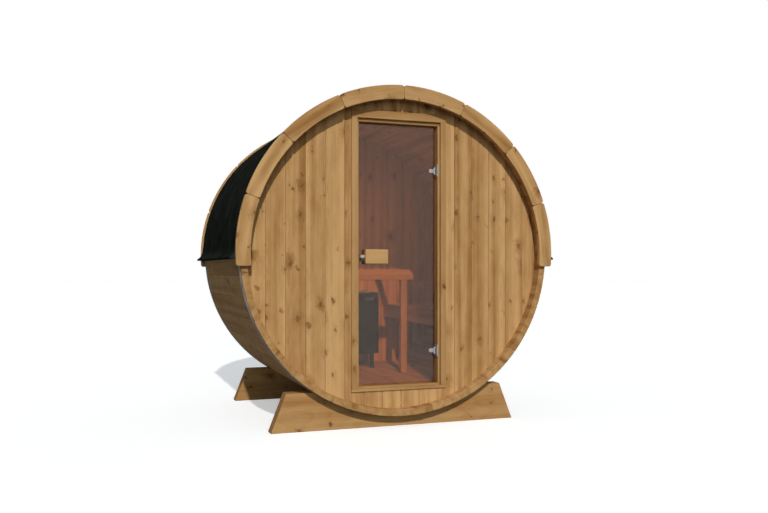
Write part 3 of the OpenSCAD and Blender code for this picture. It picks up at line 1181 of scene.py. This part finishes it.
class SAUNA_OT_door_frame(bpy.types.Operator):
    """Jambs, head and sill, with the bead and the stop inside them"""

    bl_idname = "sauna.door_frame"
    bl_label = "Door frame"

    def execute(self, context):
        s = sizes()
        lap = 0.001  # how far one box of a board runs into the next
        head_low, head_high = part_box("door_head")
        sill_low, sill_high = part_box("door_sill")
        bead_top = head_low.z + s.stop
        bead = head_high.x - s.casing
        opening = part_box("door_jamb_right")[0].x
        stop_y = head_high.y - s.stop_thickness
        for side, seed in (("left", 39), ("right", 41)):
            low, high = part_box("door_jamb_" + side)
            boxes = [
                ((bead, low.y, low.z), (head_high.x, high.y, high.z)),
                ((opening, low.y + s.bead_back, sill_high.z), (bead + lap, high.y, bead_top)),
            ]
            if side == "left":
                boxes.append(((opening - s.stop, stop_y, sill_high.z), (opening + lap, high.y, bead_top)))
                boxes = [((-b[0], a[1], a[2]), (-a[0], b[1], b[2])) for a, b in boxes]
            self.board("door_jamb_" + side, boxes, UP, RIGHT, seed)
        head_z = head_high.z - s.head
        boxes = [
            ((head_low.x, head_low.y, head_z), head_high),
            ((-bead, head_low.y + s.bead_back, bead_top), (bead, head_high.y, head_z + lap)),
            ((s.stop - opening, stop_y, head_low.z), (opening, head_high.y, bead_top + lap)),
        ]
        self.board("door_head", boxes, RIGHT, UP, 43)
        sill_z = sill_low.z + s.sill
        boxes = [
            (sill_low, (sill_high.x, sill_high.y, sill_z)),
            ((-bead, sill_low.y + s.bead_back, sill_z - lap), (bead, sill_high.y, sill_high.z)),
        ]
        self.board("door_sill", boxes, RIGHT, UP, 44)
        return {"FINISHED"}

    def board(self, node, boxes, along, across, seed):
        boards_piece(node + "_board", boxes, along, across, frame_wood(), "frame_wood", node, seed, 0.002)


# ---------------------------------------------------------------- door


class SAUNA_OT_door(bpy.types.Operator):
    """The glass door with its handle blocks and roller catch"""

    bl_idname = "sauna.door"
    bl_label = "Glass door"

    def execute(self, context):
        pane = Pile(50)
        pane.add(box_bmesh(*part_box("door_glass"), 0.0012, 1), UP, RIGHT)
        show("door_glass_pane", pane, bronze_glass(), "bronze_glass", "door_glass", body=DOOR)
        for seed, node in enumerate(("door_handle_outside", "door_handle_inside"), 51):
            look = handle_wood(), "handle_wood"
            boards_piece(node + "_block", [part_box(node)], RIGHT, UP, *look, node, seed, 0.006, DOOR)
        self.catch()
        return {"FINISHED"}

    def catch(self):
        """The roller's barrel, its axle end and a dark block under it."""
        low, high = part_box("door_catch")
        play = 0.004
        radius = (high.y - low.y - play) / 2
        y, z = low.y + radius, high.z - radius
        steel = Pile(55)
        barrel = cylinder_bmesh((low.x + play, y, z), RIGHT, radius, high.x - low.x - play, 32, 0.002)
        axle = cylinder_bmesh((low.x, y, z), RIGHT, radius * 0.55, 0.006, 24, 0.001)
        for bm in (barrel, axle):
            steel.add(bm, RIGHT, UP)
        look = fitting_metal(), "fitting_metal"
        show("door_catch_roller", steel, *look, "door_catch", body=DOOR, soft=35)
        # a dark metal block below the roller, filling the dark area under the catch
        box = (high.x - 0.022, y, low.z), (high.x, high.y, z - play)
        look = dark_metal(), "fitting_metal"
        boards_piece("door_catch_bracket", [box], RIGHT, UP, *look, "door_catch", 56, 0.0015, DOOR)


def clamp_bmesh(z, x0, x1, height, y0, y1):
    """A clamp's cheek: a plate with one round end."""
    radius = height / 2
    round_end = arc_points(radius, math.pi / 2, 3 * math.pi / 2, 14)
    outline = [(x1, z - radius), (x1, z + radius)]
    outline += [(x0 + radius + x, z + up) for x, up in round_end]
    return plate_bmesh(outline[::-1], y0, y1, 0.0018)


class SAUNA_OT_hinges(bpy.types.Operator):
    """Clamps on the glass, plates on the frame and their knuckles"""

    bl_idname = "sauna.hinges"
    bl_label = "Hinges"

    def execute(self, context):
        clamp_low, clamp_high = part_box("hinge_clamps")
        clamp_h = 0.025
        clamps, plates = Pile(60), Pile(61)
        for z in (clamp_low.z + clamp_h / 2, clamp_high.z - clamp_h / 2):
            self.clamp(clamps, z, clamp_h, clamp_low.x, clamp_high.y)
            self.plate(plates, z)
        look = fitting_metal(), "fitting_metal"
        show("hinge_clamp_set", clamps, *look, "hinge_clamps", body=DOOR, soft=35)
        show("hinge_plate_set", plates, *look, "hinge_plates", soft=35)
        return {"FINISHED"}

    def clamp(self, pile, z, height, x0, back_y):
        """Two cheeks on the glass, the knuckle with its web, and a screw's head."""
        x, y, _ = frame["joints"][0]["pos_m"]
        glass_low, glass_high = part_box("door_glass")
        knuckle_r, knuckle_half, web_half = 0.006, 0.012, 0.0115
        for y0, y1 in ((y + 0.001, glass_low.y), (glass_high.y, back_y)):
            pile.add(clamp_bmesh(z, x0, x - knuckle_r, height, y0, y1), RIGHT, UP)
        foot = (x, y, z - knuckle_half)
        pile.add(cylinder_bmesh(foot, UP, knuckle_r, 2 * knuckle_half, 24, 0.0008), UP, RIGHT)
        web = (x - 0.008, y + 0.001, z - web_half), (x, y + knuckle_r, z + web_half)
        pile.add(box_bmesh(*web, 0.0004), UP, RIGHT)
        screw_in, screw_root = 0.014, 0.0022  # from the clamp's round end, and behind the joint's axis
        screw = (x0 + screw_in, y + screw_root, z)
        pile.add(cylinder_bmesh(screw, -BACK, 0.0045, 0.0016, 20, 0.0004), BACK, UP)

    def plate(self, pile, z):
        """The plate on the jamb, with a knuckle, its ear and a screw's head above and below."""
        x, y, _ = frame["joints"][0]["pos_m"]
        low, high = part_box("hinge_plates")
        half, thick = 0.0375, 0.005
        knuckle_r, knuckle_h, ear_half, ear_reach = 0.006, 0.009, 0.0055, 0.008
        knuckle_out, screw_out = 0.0175, 0.028  # above and below the plate's middle
        screw_in, trim = 0.011, 0.0003
        cheek = (high.x - thick, low.y, z - half), (high.x, high.y, z + half)
        pile.add(box_bmesh(*cheek, 0.0012), UP, BACK)
        for side in (-1, 1):
            foot = z + side * knuckle_out - knuckle_h / 2
            pile.add(cylinder_bmesh((x, y, foot), UP, knuckle_r, knuckle_h, 24, 0.0008), UP, RIGHT)
            ear_top = foot + knuckle_h - trim
            ear = (x, y - ear_half, foot + trim), (x + ear_reach, y + ear_half, ear_top)
            pile.add(box_bmesh(*ear, 0.0004), UP, RIGHT)
            screw = (high.x - thick, low.y + screw_in, z + side * screw_out)
            pile.add(cylinder_bmesh(screw, -RIGHT, 0.0042, 0.0014, 20, 0.0004), RIGHT, UP)


# ---------------------------------------------------------------- cradles


class SAUNA_OT_cradles(bpy.types.Operator):
    """The two cradles under the barrel"""

    bl_idname = "sauna.cradles"
    bl_label = "Cradles"

    def execute(self, context):
        shoulder = 0.70
        for seed, node in enumerate(("cradle_front", "cradle_rear"), 70):
            low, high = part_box(node)
            reach = math.asin((AXIS_Z - high.z) / BARREL_R)
            saddle = arc_points(BARREL_R, -math.pi + reach, -reach, 40)
            outline = [(low.x, low.z), (high.x, low.z), (shoulder, high.z)]
            outline += [(x, z + AXIS_Z) for x, z in reversed(saddle)]
            outline += [(-shoulder, high.z)]
            pile = Pile(seed)
            pile.add(plate_bmesh(outline, low.y, high.y, sizes().edge), RIGHT, UP)
            show(node + "_board", pile, cradle_wood(), "cradle_wood", node)
        return {"FINISHED"}


# ---------------------------------------------------------------- floor, benches and bearers


def lay_boards(name, node, count, gap, margin, edge, seed):
    """Lays boards along the barrel in place of a node, with gaps between them and margins outside."""
    low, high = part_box(node)
    pitch = (high.x - low.x + gap - 2 * margin) / count
    width = pitch - gap
    bm = box_bmesh((-width / 2, low.y, low.z), (width / 2, high.y, high.z), edge)
    board = pattern(name + "_pattern", bm, BACK, RIGHT)
    values = {
        "Board": board,
        "Count": count,
        "Pitch": pitch,
        "X": low.x + margin + width / 2,
        "Radius": INNER_R - CLEARANCE,
        "Axis Height": AXIS_Z,
        "Seed": seed,
        "Material": inside_wood(),
    }
    show(name, grown(name, lying_boards, values), None, "interior_wood", node)
    discard(board)


class SAUNA_OT_floor(bpy.types.Operator):
    """Floor boards over their bearers"""

    bl_idname = "sauna.floor"
    bl_label = "Floor"

    def execute(self, context):
        gap = 0.007
        lay_boards("floor_boards", "floor_deck", 9, gap, gap / 2, 0.003, 8)
        return {"FINISHED"}


class SAUNA_OT_benches(bpy.types.Operator):
    """Seats of slats with their front rails"""

    bl_idname = "sauna.benches"
    bl_label = "Benches"

    def execute(self, context):
        for number, side in enumerate(("left", "right")):
            lay_boards(f"bench_{side}_slats", "bench_seat_" + side, 5, 0.010, 0.0, 0.005, 9 + number)
            look = inside_wood(), "interior_wood"
            rail = "bench_rail_" + side
            boards_piece(rail + "_board", [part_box(rail)], BACK, UP, *look, rail, 80 + number, 0.004)
        return {"FINISHED"}


class SAUNA_OT_bearers(bpy.types.Operator):
    """Wood on the bearers under the floor and the benches"""

    bl_idname = "sauna.bearers"
    bl_label = "Bearers"

    def execute(self, context):
        material = bearer_wood()
        for node in ("floor_bearers", "bench_bearers"):
            bearer = frame["nodes"][node]
            bearer.data.materials.clear()
            bearer.data.materials.append(material)
        return {"FINISHED"}


# ---------------------------------------------------------------- heater and guard


class SAUNA_OT_heater(bpy.types.Operator):
    """The heater's case, legs and stones"""

    bl_idname = "sauna.heater"
    bl_label = "Heater"

    def execute(self, context):
        self.case()
        self.legs()
        self.stones()
        return {"FINISHED"}

    def case(self):
        """A case of thin sheet with a seam below its rim, and the stones' tray inside it."""
        low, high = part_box("heater_body")
        sheet, corner, rim = 0.003, 0.018, 0.04
        seam, seam_drop = 0.003, 0.058
        inner = 2 * sheet
        top = high.z

        def ring(inset, z):
            r = max(corner - inset, 0.002)
            x0, x1 = low.x + inset + r, high.x - inset - r
            y0, y1 = low.y + inset + r, high.y - inset - r
            centres = ((x1, y1), (x0, y1), (x0, y0), (x1, y0))
            quarter = math.pi / 2
            arcs = [arc_points(r, i * quarter, (i + 1) * quarter, 5) for i in range(4)]
            return [(cx + x, cy + y, z) for (cx, cy), arc in zip(centres, arcs) for x, y in arc]

        def shell(levels, closed):
            bm = bmesh.new()
            rings = [[bm.verts.new(spot) for spot in ring(*level)] for level in levels]
            following = rings[1:] + rings[:1] if closed else rings[1:]
            for a, b in zip(rings, following):
                bridge(bm, a, b)
            if not closed:
                bm.faces.new(rings[0])
                bm.faces.new(rings[-1])
            return outward(bm)

        line = top - seam_drop
        levels = [(0.0, low.z), (0.0, line - 0.004), (seam, line - 0.002), (seam, line + 0.002)]
        levels += [(0.0, line + 0.004), (0.0, top - 0.002), (0.001, top), (inner - 0.001, top)]
        levels += [(inner, top - 0.002), (inner, low.z)]
        pile = Pile(90)
        pile.add(shell(levels, True), UP, RIGHT)
        tray = top - rim
        pile.add(shell([(inner - 0.001, tray - sheet), (inner - 0.001, tray)], False), UP, RIGHT)
        show("heater_case", pile, heater_paint(), "heater_metal", "heater_body", soft=30)
        self.plate(Vector((high.x, low.y, high.z)))

    def plate(self, corner):
        """A blank plate with round corners, near the case's upper right corner."""
        width, height, reach = 0.072, 0.020, 0.0012
        x, z = corner.x - 0.042 - width, corner.z - 0.034 - height
        outline = rounded([(x, z), (x + width, z), (x + width, z + height), (x, z + height)], 0.003)
        pile = Pile(92)
        pile.add(plate_bmesh(outline, corner.y - reach, corner.y, 0.0004), RIGHT, UP)
        show("heater_blank_plate", pile, plate_metal(), "heater_metal")

    def legs(self):
        """Four square legs with flat feet. The rear pair stands closer together."""
        low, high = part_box("heater_legs")
        width, play, closer, foot_h = 0.03, 0.004, 0.048, 0.006
        pile = Pile(91)
        for y, inset in ((low.y, 0.0), (high.y - width, closer)):
            for x in (low.x + inset, high.x - inset - width):
                shaft = (x + play, y + play, low.z), (x + width - play, y + width - play, high.z)
                foot = (x, y, low.z), (x + width, y + width, low.z + foot_h)
                for corners in (shaft, foot):
                    pile.add(box_bmesh(*corners, 0.002), UP, RIGHT)
        show("heater_leg_set", pile, heater_paint(), "heater_metal", "heater_legs")

    def stones(self):
        """Two layers of stones, the upper one smaller."""
        low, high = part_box("heater_stones")
        size = 0.031
        bm = bmesh.new()
        for layer, inset in ((low.z + size * 0.75, 0.0), (high.z - size * 1.25, 0.045)):
            margin = size * 1.15 + inset
            x, y0, y1 = high.x - margin, low.y + margin, high.y - margin
            corners = [(-x, y0), (x, y0), (x, y1), (-x, y1)]
            bm.faces.new([bm.verts.new((cx, cy, layer)) for cx, cy in corners])
        name = "heater_stone_heap"
        values = {"Spacing": 0.044, "Stone Size": size, "Seed": 2, "Material": stone_material()}
        heap = grown(name, stone_heap, values, to_mesh(bm, "heap"))
        show(name, heap, None, "stone", "heater_stones", soft=60)


class SAUNA_OT_guard(bpy.types.Operator):
    """The wooden guard in front of the heater"""

    bl_idname = "sauna.guard"
    bl_label = "Heater guard"

    def execute(self, context):
        low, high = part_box("guard_rails")
        post_low, post_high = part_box("guard_posts")
        width = post_high.y - post_low.y
        chamfer = 0.018
        slope_z = high.z - 2 * chamfer
        front = (0, low.y, slope_z), (0, -2, 1)
        ends = {side: ((side * high.x, 0, slope_z), (side * 2, 0, 1)) for side in (-1, 1)}
        rails, posts = Pile(95), Pile(96)
        corner = (high.x, low.y + width, high.z)
        rails.add(box_bmesh(low, corner, 0.003, cuts=[front, ends[-1], ends[1]]), RIGHT, UP)
        for side in (-1, 1):
            x = sorted((side * high.x, side * (high.x - width)))
            box = (x[0], low.y + width, low.z), (x[1], high.y, high.z)
            rails.add(box_bmesh(*box, 0.003, cuts=[ends[side]]), BACK, UP)
            x = sorted((side * post_high.x, side * (post_high.x - width)))
            box = (x[0], post_low.y, post_low.z), (x[1], post_high.y, post_high.z)
            posts.add(box_bmesh(*box, 0.004), UP, RIGHT)
        show("guard_rail_boards", rails, inside_wood(), "interior_wood", "guard_rails")
        show("guard_post_pair", posts, inside_wood(), "interior_wood", "guard_posts")
        return {"FINISHED"}


# ---------------------------------------------------------------- stage


class SAUNA_OT_stage(bpy.types.Operator):
    """Camera, lamps, pale floor and white surroundings"""

    bl_idname = "sauna.stage"
    bl_label = "Stage"

    def execute(self, context):
        scene = context.scene
        scene.view_settings.view_transform = "Standard"
        self.camera(scene)
        self.lamps()
        self.world(scene)
        self.floor(scene)
        return {"FINISHED"}

    def camera(self, scene):
        data = bpy.data.cameras.new("camera")
        data.sensor_width = 36.0
        data.lens = 38.08
        data.shift_y = 0.0164
        data.clip_end = 200.0
        camera = bpy.data.objects.new("camera", data)
        camera.location = (-1.761, -5.366, 0.964)
        camera.rotation_euler = (math.radians(90), 0, math.radians(-19.63))
        scene.collection.objects.link(camera)
        scene.camera = camera

    def lamp(self, name, kind, energy, tint, place=(0, 0, 0), aim=(0, 0, -1), **settings):
        data = bpy.data.lights.new(name, kind)
        data.energy = energy
        data.color = tint
        for key, value in settings.items():
            setattr(data, key, value)
        lamp = bpy.data.objects.new(name, data)
        lamp.location = place
        lamp.rotation_euler = Vector(aim).to_track_quat("-Z", "Y").to_euler()
        lamp.visible_glossy = False
        lamp.visible_transmission = False
        bpy.context.scene.collection.objects.link(lamp)

    def lamps(self):
        """A key lamp, a wide fill from the front and a soft lamp inside the cabin."""
        warm, cool, inside_warm = (1.0, 0.985, 0.965), (0.92, 1.0, 1.0), (1.0, 0.84, 0.76)
        self.lamp("key", "SUN", 2.35, warm, aim=(0.215, 1.0, -0.65), angle=math.radians(1.0))
        self.lamp("fill", "SUN", 0.95, cool, aim=(0.12, 1.0, -0.02), angle=math.radians(44))
        inside = (0.0, 0.15, AXIS_Z + 0.25)
        self.lamp("inside", "POINT", 2.9, inside_warm, place=inside, shadow_soft_size=0.2)

    def world(self, scene):
        """White where it is seen, and a faint light from above for the rest."""
        world = bpy.data.worlds.new("surroundings")
        world.use_nodes = True
        world.node_tree.nodes.clear()
        w = Wiring(world.node_tree)
        upward = w.split(w.take("ShaderNodeTexCoord", None, "Generated"))[2]
        levels = ((0.012, 0.28), (0.017, 0.32), (0.022, 0.35))
        hidden = [w.stretch(upward, 0.0, 1.0, *level, smooth=False) for level in levels]
        sky = w.joined(*[self.seen(w, level, 1.0) for level in hidden])
        back = w.take("ShaderNodeBackground", {"Color": sky, "Strength": 1.0})
        w.add("ShaderNodeOutputWorld", {"Surface": back})
        scene.world = world

    def seen(self, w, hidden, shown):
        """shown for rays from the camera, mirrors and glass, else hidden."""
        camera, *others = w.take(
            "ShaderNodeLightPath", None, "Is Camera Ray", "Is Glossy Ray", "Is Transmission Ray"
        )
        for ray in others:
            camera = w.math("MAXIMUM", camera, ray)
        return w.stretch(camera, 0.0, 1.0, hidden, shown, smooth=False)

    def floor(self, scene):
        """A wide pale floor that keeps the shadow and sheds little light on the barrel."""
        bm = bmesh.new()
        bmesh.ops.create_circle(bm, cap_ends=True, segments=96, radius=60.0)
        mesh = to_mesh(bm, "floor")
        floor = bpy.data.objects.new("floor", mesh)
        scene.collection.objects.link(floor)
        settings = {"Roughness": 1.0, "Specular IOR Level": 0.0, "Emission Color": (1, 1, 1, 1)}
        made, w, shader, _ = blank_material("pale_floor", **settings)
        level = self.seen(w, 0.17, 0.9)
        w.feed(shader.inputs["Base Color"], w.joined(level, level, level))
        w.feed(shader.inputs["Emission Strength"], self.seen(w, 0.0, 0.45))
        mesh.materials.append(made)


# ---------------------------------------------------------------- add-on


OPERATORS = (
    SAUNA_OT_stage,
    SAUNA_OT_staves,
    SAUNA_OT_walls,
    SAUNA_OT_trims,
    SAUNA_OT_roof,
    SAUNA_OT_bands,
    SAUNA_OT_door_frame,
    SAUNA_OT_door,
    SAUNA_OT_hinges,
    SAUNA_OT_cradles,
    SAUNA_OT_floor,
    SAUNA_OT_benches,
    SAUNA_OT_heater,
    SAUNA_OT_guard,
    SAUNA_OT_bearers,
)


class SAUNA_PT_panel(bpy.types.Panel):
    """Lists the sauna's steps"""

    bl_idname = "SAUNA_PT_panel"
    bl_label = "Barrel Sauna"
    bl_space_type = "VIEW_3D"
    bl_region_type = "UI"
    bl_category = "Sauna"

    def draw(self, context):
        for operator in OPERATORS:
            self.layout.operator(operator.bl_idname)


CLASSES = (SaunaSizes, SaunaColours, *OPERATORS, SAUNA_PT_panel)


def register():
    for each in CLASSES:
        bpy.utils.register_class(each)
    bpy.types.Scene.sauna_sizes = PointerProperty(type=SaunaSizes)
    bpy.types.Scene.sauna_colours = PointerProperty(type=SaunaColours)


def unregister():
    del bpy.types.Scene.sauna_colours
    del bpy.types.Scene.sauna_sizes
    for each in reversed(CLASSES):
        bpy.utils.unregister_class(each)


def main():
    register()
    for operator in OPERATORS:
        step = operator.bl_idname.split(".")[1]
        getattr(bpy.ops.sauna, step)()


if __name__ == "__main__":
    main()
